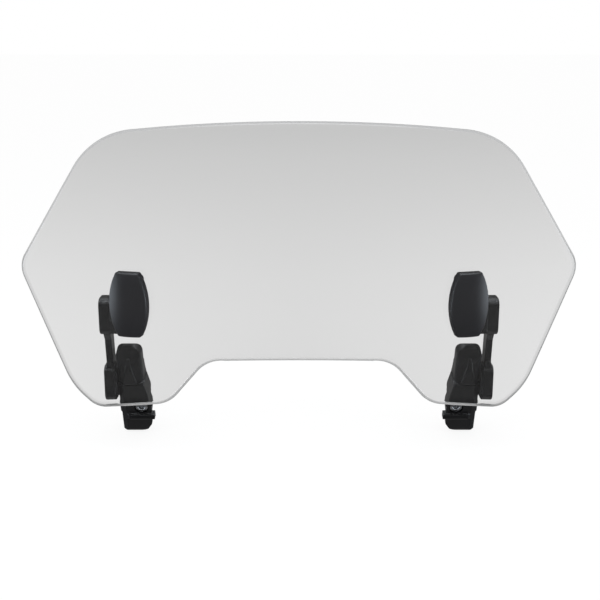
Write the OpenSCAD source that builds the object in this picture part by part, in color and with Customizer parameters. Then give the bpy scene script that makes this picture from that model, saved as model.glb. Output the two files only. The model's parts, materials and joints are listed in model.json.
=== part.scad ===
// Clamp-on wind deflector for the top edge of a motorcycle windscreen.
// A clear, curved acrylic screen carries two cover-and-bracket sets. Each bracket
// hangs on a double-pivot arm, and each arm stands on a screw clamp whose mouth
// opens downwards over the host windscreen.
//
// Frame: +Z up, the convex front of the screen faces -Y, mirror plane at x = 0.
// The origin is under the middle of the part, level with the clamp tips.
// Names ending in _d, and "outer" and "inner", are distances from the mirror plane.
// Every shape module draws the left side, x < 0; the nodes mirror it.

/* [Screen] */
// Overall width of the clear screen
screen_w = 351; // [341:2:371]
// Overall height of the clear screen
screen_h = 181; // [176:1:190]
// Radius of the screen's front face, seen from above
screen_r = 450; // [440:10:520]
// Thickness of the acrylic sheet
screen_t = 4; // [3:0.5:4.5]
// Radius of the holes for the cover screws
hole_r = 2.6; // [2.4:0.1:3]

/* [Covers] */
// Distance from the mirror plane to each cover's middle
cover_d = 102.7; // [100:0.1:104]
// Height of each cover's middle above the screen's datum
cover_z = -5; // [-7:0.1:-4]
// Width of a cover across its belly
cover_w = 24.4; // [24:0.2:27]
// Width of a cover at its two ends
cover_end_w = 14.6; // [14:0.2:17]
// Height of a cover
cover_h = 40.4; // [38:0.2:44]
// How far a cover stands proud of the screen
cover_t = 8.6; // [7.6:0.2:10]
// Thickness of the rubber gaskets on both faces of the screen
gasket_t = 0.8; // [0.5:0.1:1]
// Distance of each cover screw from the cover's middle
cover_screw_z = 11; // [10:0.5:12]

/* [Arms] */
// Distance between the two pivots of an arm
arm_l = 47.3; // [44:0.1:54]
// How far each arm leans back from the vertical
arm_lean = 9; // [0:0.5:12]
// Radius of the arm's two hubs
hub_r = 11.9; // [11:0.1:12.2]
// Flat front of each hub, measured from its pivot
hub_flat = 10.5; // [10:0.1:11.2]
// Thickness of a hub along its pivot
hub_t = 7.2; // [6.8:0.2:8.4]
// Thickness of the flat shank between the hubs
shank_t = 4.2; // [3.5:0.1:5]
// Width of the shank, front to back
shank_w = 10; // [8:0.5:13]

/* [Clamps] */
// How far the clamps lean back from the vertical
clamp_lean = 20; // [10:1:26]
// Width of the clamp's rounded head
head_w = 16.6; // [16:0.2:17]
// Width of the clamp at its jaws
jaw_w = 19.8; // [19:0.2:21]
// Opening between the two rubber pads
mouth = 6.2; // [5:0.1:6.6]
// Thickness of each rubber pad
pad_t = 2; // [1.5:0.1:2.2]

/* [Hidden] */
$fn = 48;

// ---- shared stations -------------------------------------------------------
face_d = 117.6;                 // outboard face of the clamps and of the brackets
ring_t = 0.8;                   // friction ring between a hub and its neighbour
hub_in = face_d + ring_t;       // inboard face of a hub
hub_out = hub_in + hub_t;       // outboard face of a hub
seat_d = hub_out - 3.4;         // floor of the recess that holds a bolt head
run = 0.05;                     // running clearance of a pivot, on radius
upper_pivot = [0, 37, -18.1];
lower_pivot = upper_pivot + arm_l * [0, sin(arm_lean), -cos(arm_lean)];
tip_z = -38.8;                  // clamp tips in the clamp's own frame
plate_y = mouth / 2 + pad_t;    // back of each pad
jaw_tip_t = 3.1;                // jaw plate behind its pad, at the tip
low_tip_y = plate_y + 2.6;      // lowest point of the clamp, in front of its mid-plane
low_z = lower_pivot.z + tip_z * cos(clamp_lean) - low_tip_y * sin(clamp_lean);
back_y = lower_pivot.y - tip_z * sin(clamp_lean) + (plate_y + jaw_tip_t) * cos(clamp_lean);

// ---- helpers ---------------------------------------------------------------
function direction(from, to) = (to - from) / norm(to - from);
function xy(point) = [point[0], point[1]];
// corner radius of a hexagon, from half its width across flats
function hex_r(half_flats) = half_flats / cos(30);

// the corner at apex, between before and after, as an arc in equal steps
function corner(before, apex, after, radius, steps) =
    let (to_before = direction(apex, before),
         to_after = direction(apex, after),
         half = acos(max(-1, min(1, to_before * to_after))) / 2,
         reach = radius / tan(half),
         bisector = direction([0, 0], to_before + to_after),
         centre = apex + bisector * (radius / sin(half)),
         first = apex + to_before * reach - centre,
         last = apex + to_after * reach - centre,
         start = atan2(first[1], first[0]),
         turn = atan2(last[1], last[0]) - start,
         sweep = turn > 180 ? turn - 360 : turn < -180 ? turn + 360 : turn)
    [for (i = [0:steps])
        centre + radius * [cos(start + sweep * i / steps), sin(start + sweep * i / steps)]];

// a closed polygon from [x, y, corner radius] triples
function rounded(points, steps = 5) =
    let (count = len(points))
    [for (i = [0:count - 1])
        let (before = points[(i + count - 1) % count],
             apex = points[i],
             after = points[(i + 1) % count])
        each (apex[2] < 0.05 ? [xy(apex)]
            : corner(xy(before), xy(apex), xy(after), apex[2], steps))];

// the points mirrored in x, in reverse order
function flip(points) = [for (i = [len(points) - 1:-1:0]) [-points[i][0], points[i][1]]];

// height at x of a shallow arch that peaks at peak_z
function arch(peak_z, radius, x) = peak_z - radius + sqrt(radius * radius - x * x);

// moves the whole part so that the origin lies under its middle
module place() { translate([0, -back_y / 2, -low_z]) children(); }
module mirrored() { mirror([1, 0, 0]) children(); }
// draws both sides of a symmetric pair
module pair() { children(); mirrored() children(); }
// the left cover: x inboard along the face, y into the screen, z up
cover_y = screen_r - sqrt(screen_r * screen_r - cover_d * cover_d);
cover_turn = asin(cover_d / screen_r);
module cover_frame()
    translate([-cover_d, cover_y, cover_z]) rotate([0, 0, -cover_turn]) children();
// the left clamp: x = -distance, y square to the pads, z along the jaws
module clamp_frame() translate(lower_pivot) rotate([clamp_lean, 0, 0]) children();
// a profile in (y, z), extruded from outer inboard to inner
module across(outer, inner)
    translate([-outer, 0, 0]) rotate([90, 0, 90])
        linear_extrude(height = outer - inner) children();
// a profile in (x, z), extruded along y
module through(front, back)
    translate([0, back, 0]) rotate([90, 0, 0]) linear_extrude(height = back - front) children();
// a cylinder along x, from outer inboard to inner
module rod(outer, inner, radius)
    translate([-outer, 0, 0]) rotate([0, 90, 0]) cylinder(h = outer - inner, r = radius);
// turns a child's z axis to point back along y, starting at front
module along_y(front) translate([0, front, 0]) rotate([-90, 0, 0]) children();
// a cylinder along y
module peg(front, back, radius) along_y(front) cylinder(h = back - front, r = radius);
// the upright cylinder that the sheet is rolled on
module roll(radius) translate([0, screen_r, -150]) cylinder(h = 320, r = radius, $fn = 180);

// ---- the screen ------------------------------------------------------------
// the outline is drawn for a screen 351 x 181 and stretched to size
stretch_x = screen_w / 351;
stretch_z = screen_h / 181;
top_end_x = -95.2;
notch_end_x = -45;
// left side, from the top arch down to the arch of the notch: [x, z, corner radius, steps];
// the first and last rows are end points only
side_corners = [
    [top_end_x, 100.64],
    [-122.9, 98, 52, 14],
    [-177.5, 13.5, 16, 8],
    [-144.8, -62.9, 40, 4],
    [-128.6, -75.9, 15, 6],
    [-81.1, -69.1, 21.5, 6],
    [-55.9, -39.1, 20.5, 6],
    [notch_end_x, -39.6]];
function stretched(point) = [point[0] * stretch_x, point[1] * stretch_z];

half_top = [for (i = [0:8]) let (x = top_end_x * i / 8) stretched([x, arch(105.8, 880, x)])];
half_side = [for (i = [1:len(side_corners) - 2]) each corner(
    stretched(side_corners[i - 1]), stretched(side_corners[i]), stretched(side_corners[i + 1]),
    side_corners[i][2], side_corners[i][3])];
half_notch = [for (i = [0:6])
    let (x = notch_end_x * (1 - i / 6)) stretched([x, arch(-38.5, 900, x)])];
half_outline = concat(half_top, half_side, half_notch);
// the right half leaves out the points on the mirror plane
outline = concat(half_outline, [for (point = flip(half_outline)) if (point[0] > 0.01) point]);

module at_cover_screws()
    cover_frame() for (z = [-cover_screw_z, cover_screw_z]) translate([0, 0, z]) children();
module cover_holes(radius, front, back) at_cover_screws() peg(front, back, radius);

module screen_shape() difference() {
    intersection() {
        through(-5, 60) polygon(outline);
        difference() { roll(screen_r); roll(screen_r - screen_t); }
    }
    pair() cover_holes(hole_r, -3, 9);
}

// ---- covers, gaskets, brackets and their screws ----------------------------
cover_front = -cover_t - gasket_t;
crown_r = 24;                   // crown of the cover's front, seen from above
long_crown_r = 78;              // crown of the cover's front, seen from the side
barrel_bulge = (cover_w - cover_end_w) / 2;
barrel_r = (cover_h * cover_h / 4 + barrel_bulge * barrel_bulge) / (2 * barrel_bulge);
insert_r = 2.8;
cover_thread_r = 2;
base_w = 14;                    // bracket base
base_h = 34;
base_t = 4.6;
base_corner_r = 3;
base_back = screen_t + gasket_t + base_t;
cover_head_y = base_back - 1.2; // floor of the recess that holds a cover screw's head
back_face_r = screen_r - screen_t;
lug_in = 105.5;                 // inboard face of the bracket's lug
bolt_r = 3;                     // pivot bolts and nuts
nut_half = 5;                   // half the width across flats
nut_pocket_half = nut_half + 0.1;
upper_nut_d = 109.9;            // outboard face of an upper pivot's nut

// the cover's face outline: two arcs cut off square
module barrel(grow) intersection() {
    translate([barrel_r - cover_w / 2 - grow, 0]) circle(r = barrel_r, $fn = 96);
    translate([cover_w / 2 + grow - barrel_r, 0]) circle(r = barrel_r, $fn = 96);
    square([cover_w * 2, cover_h + grow * 2], center = true);
}
// the crowned block of the cover before its back is cut to the sheet
module cover_block() cover_frame() intersection() {
    end_z = cover_h / 2 + 1;
    through(cover_front, 4) barrel(0);
    translate([0, crown_r + cover_front, -30]) cylinder(h = 60, r = crown_r, $fn = 96);
    across(30, -30) polygon(concat([[6, -end_z], [6, end_z]],
        [for (i = [0:12]) let (z = end_z * (1 - i / 6))
            [long_crown_r + cover_front - sqrt(long_crown_r * long_crown_r - z * z), z]]));
}
module cover_shape() difference() {
    cover_block();
    roll(screen_r + gasket_t);
    cover_holes(insert_r, -7.3, 6);
}
// a skin of the barrel outline on the front of the sheet
module cover_gasket_shape() difference() {
    cover_frame() through(-5, 5) barrel(-0.9);
    difference() {
        translate([-200, -60, -60]) cube([400, 200, 120]);
        roll(screen_r + gasket_t);
    }
    roll(screen_r);
    cover_holes(3.2, -6, 6);
}
// rounded rectangle of the bracket base, set slightly outboard of the cover's middle
module base_plate(grow, front, back) {
    x = base_w / 2 + grow;
    z = base_h / 2 + grow;
    radius = base_corner_r + grow;
    cover_frame() translate([-1.2, 0, 0]) through(front, back)
        polygon(rounded([[-x, -z, radius], [x, -z, radius], [x, z, radius], [-x, z, radius]]));
}
module back_gasket_shape() difference() {
    intersection() {
        base_plate(0.3, 0, 8);
        roll(back_face_r);
    }
    roll(back_face_r - gasket_t);
    cover_holes(2.6, 0, 12);
}
module bracket_shape() difference() {
    y = upper_pivot.y;
    z = upper_pivot.z;
    intersection() {
        union() {
            base_plate(0, 2, base_back);
            // lug that reaches back to the pivot
            translate(upper_pivot) rod(face_d, lug_in, 10);
            across(face_d, lug_in)
                polygon(rounded([[12, z - 8, 0], [y - 3, z - 9.54, 0],
                    [y + 1, z + 9.95, 0], [24, z + 14.5, 6], [12, z + 17, 0]]));
            // low boss round the pivot on the inboard side
            translate(upper_pivot) rod(lug_in + 0.5, lug_in - 1.2, 7.4);
        }
        roll(back_face_r - gasket_t);
    }
    // pivot bore and the pocket of its nut
    translate(upper_pivot) rod(face_d + 1, 100, bolt_r + run);
    translate(upper_pivot) rod(upper_nut_d, 100, hex_r(nut_pocket_half), $fn = 6);
    cover_holes(2.2, 0, 30);
    // recesses for the screw heads
    cover_holes(4.1, cover_head_y, cover_head_y + 20);
}
// M4 pan head screws, from behind, into brass inserts
module cover_screw_shape() at_cover_screws() {
    head_r = 3.8;
    rim_y = cover_head_y + 1.7; // where the head starts to taper
    difference() {
        union() {
            peg(cover_head_y - 15, cover_head_y + 0.1, cover_thread_r);
            peg(cover_head_y, rim_y, head_r);
            along_y(rim_y) cylinder(h = 0.9, r1 = head_r, r2 = 2.7);
        }
        peg(cover_head_y + 1, cover_head_y + 4, 1.45, $fn = 6);
    }
}
module insert_shape() at_cover_screws() difference() {
    peg(-6.5, -1.3, insert_r);
    peg(-7.5, 0.5, cover_thread_r);
}

// ---- pivots ----------------------------------------------------------------
washer_t = 0.8;
bolt_l = 20;
bolt_seat_d = seat_d + washer_t;  // underside of a bolt head
nut_t = 5;

module at_pivots() for (pivot = [upper_pivot, lower_pivot]) translate(pivot) children();

// M6 button head bolt, its head in the recess of a hub
module pivot_bolt() {
    head_r = 5.25;
    rim_d = bolt_seat_d + 1.5;    // where the head starts to taper
    difference() {
        union() {
            rod(bolt_seat_d + 1, bolt_seat_d - bolt_l, bolt_r);
            rod(rim_d, bolt_seat_d, head_r);
            translate([-rim_d, 0, 0]) rotate([0, -90, 0]) cylinder(h = 1.8, r1 = head_r, r2 = 3.4);
        }
        rod(bolt_seat_d + 4, bolt_seat_d + 1.3, hex_r(2), $fn = 6);
    }
}
module pivot_washer() difference() {
    rod(bolt_seat_d, seat_d, 5.7);
    rod(seat_d + 2, seat_d - 1, bolt_r + 0.1);
}
// hexagon with its corners trimmed round
module pivot_nut(outer) difference() {
    intersection() {
        rod(outer, outer - nut_t, hex_r(nut_half), $fn = 6);
        rod(outer, outer - nut_t, 5.6);
    }
    rod(outer + 1, outer - nut_t - 1, bolt_r);
}
module friction_rings() at_pivots() difference() {
    rod(hub_in, face_d, 10.4);
    rod(hub_in + 1, face_d - 1, bolt_r + 0.3);
}

// ---- arms ------------------------------------------------------------------
hub_bevel = 0.6;
shank_in = hub_in + 1.4;        // inboard face of the shank
rib_w = 2.4;
rib_t = 0.8;                    // how far the rib stands proud of the shank

// round at the back, flat towards the screen
module hub() {
    intersection() {
        translate([-hub_in, 0, 0]) rotate([0, -90, 0]) rotate_extrude()
            polygon([[0, 0], [hub_r, 0], [hub_r, hub_t - hub_bevel],
                [hub_r - hub_bevel, hub_t], [0, hub_t]]);
        across(hub_out + 1, hub_in - 1) polygon([[0, -20], [20, -20], [20, 20], [0, 20]]);
    }
    across(hub_out, hub_in) polygon(rounded([[-hub_flat, -hub_r, 5], [0.01, -hub_r, 0],
        [0.01, hub_r, 0], [-hub_flat, hub_r, 5]], 6));
}
// a flat bar from the upper pivot to the lower
module arm_bar(width, thickness)
    across(shank_in + thickness, shank_in)
        polygon([[-width / 2, -arm_l], [width / 2, -arm_l], [width / 2, 0], [-width / 2, 0]]);
module arm_shape() difference() {
    union() {
        at_pivots() hub();
        translate(upper_pivot) rotate([arm_lean, 0, 0]) {
            arm_bar(shank_w, shank_t);
            // rib down the middle of the shank
            arm_bar(rib_w, shank_t + rib_t);
        }
    }
    at_pivots() {
        rod(hub_out + 1, seat_d, 6.3);
        rod(hub_out + 1, hub_in - 1, bolt_r + run);
    }
}

// ---- clamps ----------------------------------------------------------------
lower_nut_d = 109.2;            // outboard face of a lower pivot's nut
nut_pocket_d = lower_nut_d + 0.05;
nut_pocket_t = nut_t + 0.2;
jaw_pin = [0, 8.6, 13.5];       // jaw hinge pin in the clamp's own frame
pin_r = 2;
ear_w = 14.8;                   // inboard face of the inner ear, from the outboard face
ear_t = 3.6;
ear_r = 4.3;
knuckle_out = face_d - ear_t - 0.2;
knuckle_in = face_d - ear_w + ear_t + 0.2;
clamp_screw_w = 13.4;           // clamp screw, measured in from the outboard face
clamp_screw_z = -17.8;
screw_seat_y = -2.5;            // floor of the screw's counterbore
screw_washer_t = 0.8;
screw_head_y = screw_seat_y - screw_washer_t;
jaw_nut_y = 7;
jaw_nut_half = 4;

// front views: [distance in from the outboard face, z, corner radius]
clamp_front = [
    [0, 28.2, 7.5], [head_w, 28.2, 6.5], [head_w, 5, 14], [jaw_w + 1, -15.6, 1],
    [jaw_w, -17.4, 0.8], [jaw_w - 0.4, tip_z + 6.5, 3], [jaw_w - 3.4, tip_z + 2, 2],
    [jaw_w - 9, tip_z, 2.5], [-1.2, tip_z, 1.4], [-1.4, -16.4, 0.4], [0, -15, 0.4]];
jaw_front = [
    [0.4, 28, 0], [ear_w + 0.4, 28, 0], [ear_w + 0.4, 4, 8], [jaw_w - 2, -20, 8],
    [jaw_w - 2.2, tip_z + 6.5, 3], [jaw_w - 4.8, tip_z + 2, 2],
    [jaw_w - 9.6, tip_z, 2.5], [0.4, tip_z, 1.4]];
pad_front = [
    [1.2, tip_z + 0.8, 1.2], [jaw_w - 10.2, tip_z + 0.8, 2.5], [jaw_w - 5.2, tip_z + 2.9, 2],
    [jaw_w - 3, tip_z + 6.8, 2], [jaw_w - 3, -24.8, 1.2], [1.2, -24.8, 1.2]];
// the arrow's front view, without corner radii
arrow_front = [[head_w / 2 - 4.4, 3], [head_w / 2 + 4.4, 3],
    [head_w / 2 + 0.5, 22], [head_w / 2 - 0.5, 22]];
// view from above: [distance in from the outboard face, y]
clamp_plan = [[-3, 14], [-3, -3], [3.4, -9], [6, -11.6], [jaw_w + 3, -11.6], [jaw_w + 3, 14]];
// side views: [y, z, corner radius]
clamp_side = [
    [-2.5, 28.4, 3], [-9, 15, 12], [-9, -26.5, 0], [-plate_y - 3.6, -27, 0.4],
    [-plate_y - 3.6, tip_z, 2.2], [-plate_y, tip_z, 0.4], [-plate_y, -24.2, 0],
    [0, -22.2, 0.8], [0, -10.8, 1], [6.4, -8.2, 3], [6.4, 9, 0.5], [4, 11, 1], [4, 28.4, 4]];
lip_side = [[-6, -22.2, 0], [-10.6, -22.6, 0.5], [-11, -26.2, 0.6], [-6, -26.8, 0]];
arrow_side = [[-9.8, 1, 0], [-9.8, 14.6, 13], [-3.4, 28.2, 0], [-1, 28.2, 0], [-1, 1, 0]];
jaw_side = [
    [8.2, 8.4, 0.4], [12.6, 8.4, 1.6], [12.6, -9, 3], [11, -12, 2], [11, -23, 1.6],
    [plate_y + 3.6, -25.5, 2], [plate_y + jaw_tip_t, tip_z, 2.2], [plate_y, tip_z, 0.4],
    [plate_y, -23.4, 0], [plate_y + 0.8, -12, 1], [8.2, -9.4, 1.5]];

// a polygon whose x is measured in from the outboard face
module face_polygon(points) translate([-face_d, 0]) polygon(points);
module clamp_column()
    translate([0, 0, tip_z - 1]) linear_extrude(height = 80) face_polygon(clamp_plan);
module at_clamp_screw() translate([clamp_screw_w - face_d, 0, clamp_screw_z]) children();

module clamp_shape() clamp_frame() difference() {
    union() {
        intersection() {
            across(face_d + 3, face_d - jaw_w - 4) polygon(rounded(clamp_side));
            through(-12, 14) face_polygon(rounded(clamp_front, 6));
            clamp_column();
        }
        // ears for the jaw pin
        for (outer = [face_d, face_d - ear_w + ear_t]) {
            translate(jaw_pin) rod(outer, outer - ear_t, ear_r);
            across(outer, outer - ear_t)
                polygon([[0, jaw_pin.z - 4.2], [jaw_pin.y, jaw_pin.z - ear_r],
                    [jaw_pin.y, jaw_pin.z + ear_r], [0, jaw_pin.z + 8]]);
        }
        // lip across the front
        intersection() {
            across(face_d, face_d - jaw_w - 2.1) polygon(rounded(lip_side, 4));
            clamp_column();
        }
        // raised arrow on the head
        intersection() {
            through(-9.9, -5) face_polygon(arrow_front);
            across(face_d, face_d - head_w) polygon(rounded(arrow_side));
        }
    }
    // pivot bore
    rod(face_d + 1, lower_nut_d - 6.6, bolt_r + run);
    // pocket and slot that take the pivot's nut from behind
    rotate([30, 0, 0])
        rod(nut_pocket_d, nut_pocket_d - nut_pocket_t, hex_r(nut_pocket_half), $fn = 6);
    translate([-nut_pocket_d, 0, -nut_pocket_half])
        cube([nut_pocket_t, 12, 2 * nut_pocket_half]);
    // counterbore and hole of the clamp screw
    at_clamp_screw() peg(-14, screw_seat_y, 4.65);
    at_clamp_screw() peg(-14, 2, 2.75);
    translate(jaw_pin) rod(face_d + 1, 90, pin_r);
    // slot for the knuckle of the jaw
    translate([-face_d + ear_t, 4.2, jaw_pin.z - 9]) cube([ear_w - 2 * ear_t, 14, 18]);
}
module pad_shape(front)
    clamp_frame() through(front, front + pad_t) face_polygon(rounded(pad_front));
module jaw_shape() clamp_frame() difference() {
    union() {
        // knuckle
        translate(jaw_pin) rod(knuckle_out, knuckle_in, 4);
        across(knuckle_out, knuckle_in)
            polygon([[8.2, 4], [12.4, 4], [12.4, jaw_pin.z], [8.2, jaw_pin.z]]);
        // lever and plate
        intersection() {
            across(face_d - 0.4, face_d - jaw_w) polygon(rounded(jaw_side));
            through(-2, 14.4) face_polygon(rounded(jaw_front, 6));
        }
    }
    translate(jaw_pin) rod(face_d + 1, 90, pin_r + run);
    at_clamp_screw() peg(0, 20, 3);
    at_clamp_screw() peg(jaw_nut_y, jaw_nut_y + 20, hex_r(jaw_nut_half + 0.05), $fn = 6);
}
module jaw_nut_shape() clamp_frame() at_clamp_screw() difference() {
    peg(jaw_nut_y, jaw_nut_y + 4, hex_r(jaw_nut_half), $fn = 6);
    peg(jaw_nut_y - 1, jaw_nut_y + 5, 2.8);
}
// M5 x 18 socket cap screw
module clamp_screw_shape() clamp_frame() at_clamp_screw() {
    head_r = 4.25;
    rim_y = screw_head_y - 4.6; // where the head's bevel starts
    bevel = 0.4;
    difference() {
        union() {
            peg(screw_head_y - 1, screw_head_y + 18, 2.5);
            peg(rim_y, screw_head_y, head_r);
            along_y(rim_y - bevel) cylinder(h = bevel, r1 = head_r - bevel, r2 = head_r);
        }
        peg(screw_head_y - 6, screw_head_y - 2.4, hex_r(2), $fn = 6);
    }
}
module screw_washer_shape() clamp_frame() at_clamp_screw() difference() {
    peg(screw_head_y, screw_seat_y, 4.3);
    peg(screw_head_y - 1, screw_head_y + 2, 2.65);
}
module jaw_pin_shape() clamp_frame() translate(jaw_pin) rod(face_d, face_d - ear_w, pin_r);

// ---- nodes -----------------------------------------------------------------
acrylic = [0.86, 0.88, 0.88, 0.45];
plastic = [0.07, 0.07, 0.08];
rubber = [0.03, 0.03, 0.03];
ring_black = [0.1, 0.1, 0.1];
steel = [0.75, 0.76, 0.78];
brass = [0.75, 0.6, 0.3];
module screen() color(acrylic) place() screen_shape();
module left_cover() color(plastic) place() cover_shape();
module right_cover() color(plastic) place() mirrored() cover_shape();
module left_cover_gasket() color(rubber) place() cover_gasket_shape();
module right_cover_gasket() color(rubber) place() mirrored() cover_gasket_shape();
module left_back_gasket() color(rubber) place() back_gasket_shape();
module right_back_gasket() color(rubber) place() mirrored() back_gasket_shape();
module left_bracket() color(plastic) place() bracket_shape();
module right_bracket() color(plastic) place() mirrored() bracket_shape();
module cover_screws() color(steel) place() pair() cover_screw_shape();
module cover_inserts() color(brass) place() pair() insert_shape();
module upper_pivot_bolts() color(steel) place() pair() translate(upper_pivot) pivot_bolt();
module upper_pivot_washers() color(steel) place() pair() translate(upper_pivot) pivot_washer();
module upper_pivot_nuts()
    color(steel) place() pair() translate(upper_pivot) pivot_nut(upper_nut_d);
module left_arm() color(plastic) place() arm_shape();
module right_arm() color(plastic) place() mirrored() arm_shape();
module left_friction_rings() color(ring_black) place() friction_rings();
module right_friction_rings() color(ring_black) place() mirrored() friction_rings();
module left_clamp() color(plastic) place() clamp_shape();
module right_clamp() color(plastic) place() mirrored() clamp_shape();
module lower_pivot_bolts() color(steel) place() pair() translate(lower_pivot) pivot_bolt();
module lower_pivot_washers() color(steel) place() pair() translate(lower_pivot) pivot_washer();
module lower_pivot_nuts()
    color(steel) place() pair() clamp_frame() rotate([30, 0, 0]) pivot_nut(lower_nut_d);
module jaw_pins() color(steel) place() pair() jaw_pin_shape();
module left_front_pad() color(rubber) place() pad_shape(-plate_y);
module right_front_pad() color(rubber) place() mirrored() pad_shape(-plate_y);
module clamp_screw_washers() color(steel) place() pair() screw_washer_shape();
module left_clamp_screw() color(steel) place() clamp_screw_shape();
module right_clamp_screw() color(steel) place() mirrored() clamp_screw_shape();
module left_jaw() color(plastic) place() jaw_shape();
module right_jaw() color(plastic) place() mirrored() jaw_shape();
module left_jaw_pad() color(rubber) place() pad_shape(mouth / 2);
module right_jaw_pad() color(rubber) place() mirrored() pad_shape(mouth / 2);
module left_jaw_nut() color(steel) place() jaw_nut_shape();
module right_jaw_nut() color(steel) place() mirrored() jaw_nut_shape();

screen();
left_cover();
right_cover();
left_cover_gasket();
right_cover_gasket();
left_back_gasket();
right_back_gasket();
left_bracket();
right_bracket();
cover_screws();
cover_inserts();
upper_pivot_bolts();
upper_pivot_washers();
upper_pivot_nuts();
left_arm();
right_arm();
left_friction_rings();
right_friction_rings();
left_clamp();
right_clamp();
lower_pivot_bolts();
lower_pivot_washers();
lower_pivot_nuts();
jaw_pins();
left_front_pad();
right_front_pad();
clamp_screw_washers();
left_clamp_screw();
right_clamp_screw();
left_jaw();
right_jaw();
left_jaw_pad();
right_jaw_pad();
left_jaw_nut();
right_jaw_nut();
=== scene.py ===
import bpy
import bmesh
import json
from math import acos, asin, atan2, ceil, copysign, cos, pi, radians, sin, sqrt
from mathutils import Matrix, Vector
from mathutils.geometry import delaunay_2d_cdt
from mathutils.kdtree import KDTree


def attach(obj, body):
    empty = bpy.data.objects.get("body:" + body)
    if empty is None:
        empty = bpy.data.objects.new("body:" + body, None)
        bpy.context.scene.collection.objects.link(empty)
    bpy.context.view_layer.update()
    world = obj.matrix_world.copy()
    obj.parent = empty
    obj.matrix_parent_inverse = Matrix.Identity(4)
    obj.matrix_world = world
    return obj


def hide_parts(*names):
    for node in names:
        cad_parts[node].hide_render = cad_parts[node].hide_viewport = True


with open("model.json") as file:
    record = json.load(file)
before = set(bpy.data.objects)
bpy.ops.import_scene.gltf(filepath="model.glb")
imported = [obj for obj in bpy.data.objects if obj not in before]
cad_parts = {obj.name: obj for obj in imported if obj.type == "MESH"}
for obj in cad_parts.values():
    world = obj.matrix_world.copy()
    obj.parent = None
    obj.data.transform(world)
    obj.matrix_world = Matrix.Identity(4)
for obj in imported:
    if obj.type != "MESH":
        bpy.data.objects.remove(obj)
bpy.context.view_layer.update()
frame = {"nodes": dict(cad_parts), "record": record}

# ------------------------------------------------------------------ dimensions (mm)
# Names in _D are distances from the middle plane x = 0, names in _W widths measured
# inboard from FACE_D, _T thicknesses, _R radii.
SHEET_R = 450.0             # front face of the sheet, about an upright axis behind it
SHEET_T = 4.0
SHEET_BACK_R = SHEET_R - SHEET_T

# arms and pivots
ARM_L = 47.3                # pivot to pivot
ARM_LEAN = radians(9)
CLAMP_LEAN = radians(20)
UPPER_Y, UPPER_Z = 37.0, -18.1
LOWER_Y = UPPER_Y + ARM_L * sin(ARM_LEAN)
LOWER_Z = UPPER_Z - ARM_L * cos(ARM_LEAN)
PIVOTS = ((UPPER_Y, UPPER_Z), (LOWER_Y, LOWER_Z))
FACE_D = 117.6              # outboard faces of bracket and clamp
RING_T = 0.8                # friction ring
HUB_T, HUB_R = 7.2, 11.9
HUB_FLAT = 10.5             # pivot to the flat front of the hub
HUB_IN = FACE_D + RING_T
HUB_OUT = HUB_IN + HUB_T
SEAT_D = HUB_OUT - 3.4      # floor of the hub's bolt recess
WASHER_T = 0.8
WASHER_OUT = SEAT_D + WASHER_T
BOLT_R, BOLT_L = 3.0, 20
UPPER_NUT_D, LOWER_NUT_D = 109.9, 109.2     # outboard faces of the pivot nuts
NUT_POCKET = 5.1            # half width across flats
NUT_TURN = Matrix.Rotation(radians(30), 4, "X")
SHANK_T, SHANK_W = 4.2, 10.0

# clamp, in the clamp frame
MOUTH = 6.2                 # gap between the two pads
PAD_T = 2.0
TIP_Z = -38.8
PLATE_Y = MOUTH / 2 + PAD_T             # the plates that carry the pads
JAW_TIP_Y = PLATE_Y + 3.1
FRONT_TIP_Y = PLATE_Y + 2.6             # lowest part of the front plate's rounded tip
HEAD_W, JAW_W = 16.6, 19.8
EAR_W, EAR_T = 14.8, 3.6                # over both ears of the jaw hinge, and each ear
SCREW_X, SCREW_Z = 13.4 - FACE_D, -17.8
SCREW_SEAT_Y = -3.3
PIN_Y, PIN_Z, PIN_R = 8.6, 13.5, 2.0

# covers on the front of the sheet, bracket bases behind it
COVER_D, COVER_Z = 102.7, -5.0
COVER_W, COVER_END_W, COVER_H, COVER_T = 24.4, 14.6, 40.4, 8.6
COVER_A = asin(COVER_D / SHEET_R)
COVER_Y = SHEET_R - sqrt(SHEET_R ** 2 - COVER_D ** 2)
COVER_SCREW_Z = 11.0
COVER_SCREWS = (-COVER_SCREW_Z, COVER_SCREW_Z)
GASKET_T = 0.8
BASE_W, BASE_H, BASE_T = 14.0, 34.0, 4.6
BASE_SHIFT = -1.2                       # base middle, outboard of the cover's
BASE_BACK_Y = SHEET_T + GASKET_T + BASE_T
HEAD_Y = BASE_BACK_Y - 1.2              # seat of the cover screw heads

# fit frame to row frame: the lowest tip on z = 0, the depth centred on y = 0
LOW_Z = LOWER_Z + TIP_Z * cos(CLAMP_LEAN) - FRONT_TIP_Y * sin(CLAMP_LEAN)
BACK_Y = LOWER_Y - TIP_Z * sin(CLAMP_LEAN) + JAW_TIP_Y * cos(CLAMP_LEAN)
SHIFT = Vector((0.0, -BACK_Y / 2, -LOW_Z))
ROW = Matrix.Diagonal((0.001, 0.001, 0.001, 1)) @ Matrix.Translation(SHIFT)

# local frames, each from its own mm into the fit frame
FIT = Matrix.Identity(4)
UPPER = Matrix.Translation((0, UPPER_Y, UPPER_Z))
LOWER = Matrix.Translation((0, LOWER_Y, LOWER_Z))
ARM = UPPER @ Matrix.Rotation(ARM_LEAN, 4, "X")
CLAMP = LOWER @ Matrix.Rotation(CLAMP_LEAN, 4, "X")
# x inboard along the face, y into the sheet, z up
COVER = Matrix.Translation((-COVER_D, COVER_Y, COVER_Z)) @ Matrix.Rotation(-COVER_A, 4, "Z")

scene = bpy.context.scene
collection = scene.collection


def to_row(point):
    return (Vector(point) + SHIFT) / 1000.0


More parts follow.
